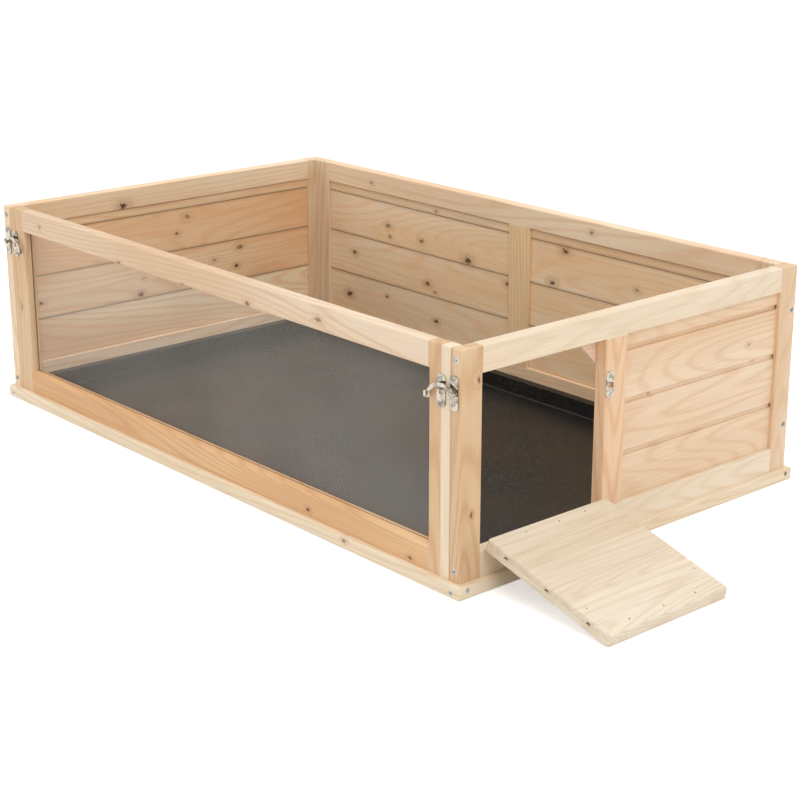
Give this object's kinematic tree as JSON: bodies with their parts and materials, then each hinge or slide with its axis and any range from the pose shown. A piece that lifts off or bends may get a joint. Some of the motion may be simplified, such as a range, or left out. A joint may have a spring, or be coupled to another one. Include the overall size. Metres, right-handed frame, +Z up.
{
  "type": "indoor_rabbit_enclosure",
  "caption": "Indoor rabbit enclosure in pine with boarded walls, a lift-out clear front panel, black litter tray and a side door that lowers as a ramp, held by swing-hook latches",
  "frame": {"origin": "middle of the underside of the base, on the ground", "axes": "+X along the long side towards the ramp end, +Y from the window to the rear wall, +Z up"},
  "size_m": [1.1921, 0.6015, 0.292],
  "materials": {
    "pine_frame": "planed and oiled pine",
    "pine_panel": "planed and oiled pine, warmer",
    "pine_base": "planed pine, paler",
    "pine_boards": "planed pine boards",
    "pine_ramp": "bare planed pine",
    "plywood": "plain plywood",
    "clear_pane": "clear acrylic sheet",
    "tray_plastic": "grained black",
    "plated_latch": "nickel plated",
    "zinc_screw": "zinc plated"
  },
  "bodies": {
    "enclosure": {"left_post_front": "pine_frame", "left_post_rear": "pine_frame", "left_rail_top": "pine_frame", "left_rail_bottom": "pine_frame", "right_post_front": "pine_frame", "right_post_rear": "pine_frame", "right_mid_post": "pine_frame", "right_rail_top": "pine_frame", "right_rail_bottom": "pine_frame", "rear_stile_left": "pine_frame", "rear_stile_right": "pine_frame", "rear_mid_stile": "pine_frame", "rear_rail_top": "pine_frame", "rear_rail_bottom": "pine_frame", "stop_block": "pine_frame", "base_rail_front": "pine_base", "base_rail_rear": "pine_base", "base_rail_left": "pine_base", "base_rail_right": "pine_base", "floor_batten": "pine_base", "panel_dowels": "pine_base", "left_boards": "pine_boards", "right_boards": "pine_boards", "rear_left_boards": "pine_boards", "rear_right_boards": "pine_boards", "floor_panel": "plywood", "left_hook_plate": "plated_latch", "right_hook_plate": "plated_latch", "door_catch": "plated_latch", "frame_hinge_leaves": "plated_latch", "hinge_pins": "plated_latch", "base_screws": "zinc_screw", "wall_screws": "zinc_screw", "latch_screws": "zinc_screw", "door_catch_screws": "zinc_screw", "frame_hinge_screws": "zinc_screw"},
    "front_panel": {"front_stile_left": "pine_panel", "front_stile_right": "pine_panel", "front_rail_top": "pine_panel", "front_rail_bottom": "pine_panel", "window_pane": "clear_pane", "left_catch": "plated_latch", "right_catch": "plated_latch", "catch_screws": "zinc_screw"},
    "tray": {"tray": "tray_plastic"},
    "left_hook": {"left_hook": "plated_latch"},
    "right_hook": {"right_hook": "plated_latch"},
    "ramp": {"door_boards": "pine_ramp", "door_batten_front": "pine_ramp", "door_batten_rear": "pine_ramp", "door_batten_foot": "pine_ramp", "door_batten_tip": "pine_ramp", "door_hook_plate": "plated_latch", "door_latch_screws": "zinc_screw", "door_hinge_leaves": "plated_latch", "door_hinge_screws": "zinc_screw"},
    "ramp_hook": {"door_hook": "plated_latch"}
  },
  "joints": [
    {"name": "tray_lift", "type": "slide", "parent": "enclosure", "child": "tray", "axis": [0, 0, 1], "range_m": [0, 0.185]},
    {"name": "panel_lift", "type": "slide", "parent": "enclosure", "child": "front_panel", "axis": [0, 0, 1], "range_m": [0, 0.28]},
    {"name": "left_hook_turn", "type": "hinge", "parent": "enclosure", "child": "left_hook", "pos_m": [-0.482, -0.298, 0.241], "axis": [0, -1, 0], "range_deg": [0, 100]},
    {"name": "right_hook_turn", "type": "hinge", "parent": "enclosure", "child": "right_hook", "pos_m": [0.482, -0.298, 0.241], "axis": [0, 1, 0], "range_deg": [0, 100]},
    {"name": "ramp_hinge", "type": "hinge", "parent": "enclosure", "child": "ramp", "pos_m": [0.496, -0.1615, 0.05], "axis": [0, -1, 0], "range_deg": [0, 106.19]},
    {"name": "ramp_hook_turn", "type": "hinge", "parent": "ramp", "child": "ramp_hook", "pos_m": [0.64526, -0.0765, 0.01196], "axis": [-0.2658, 0, -0.964], "range_deg": [0, 180]}
  ]
}
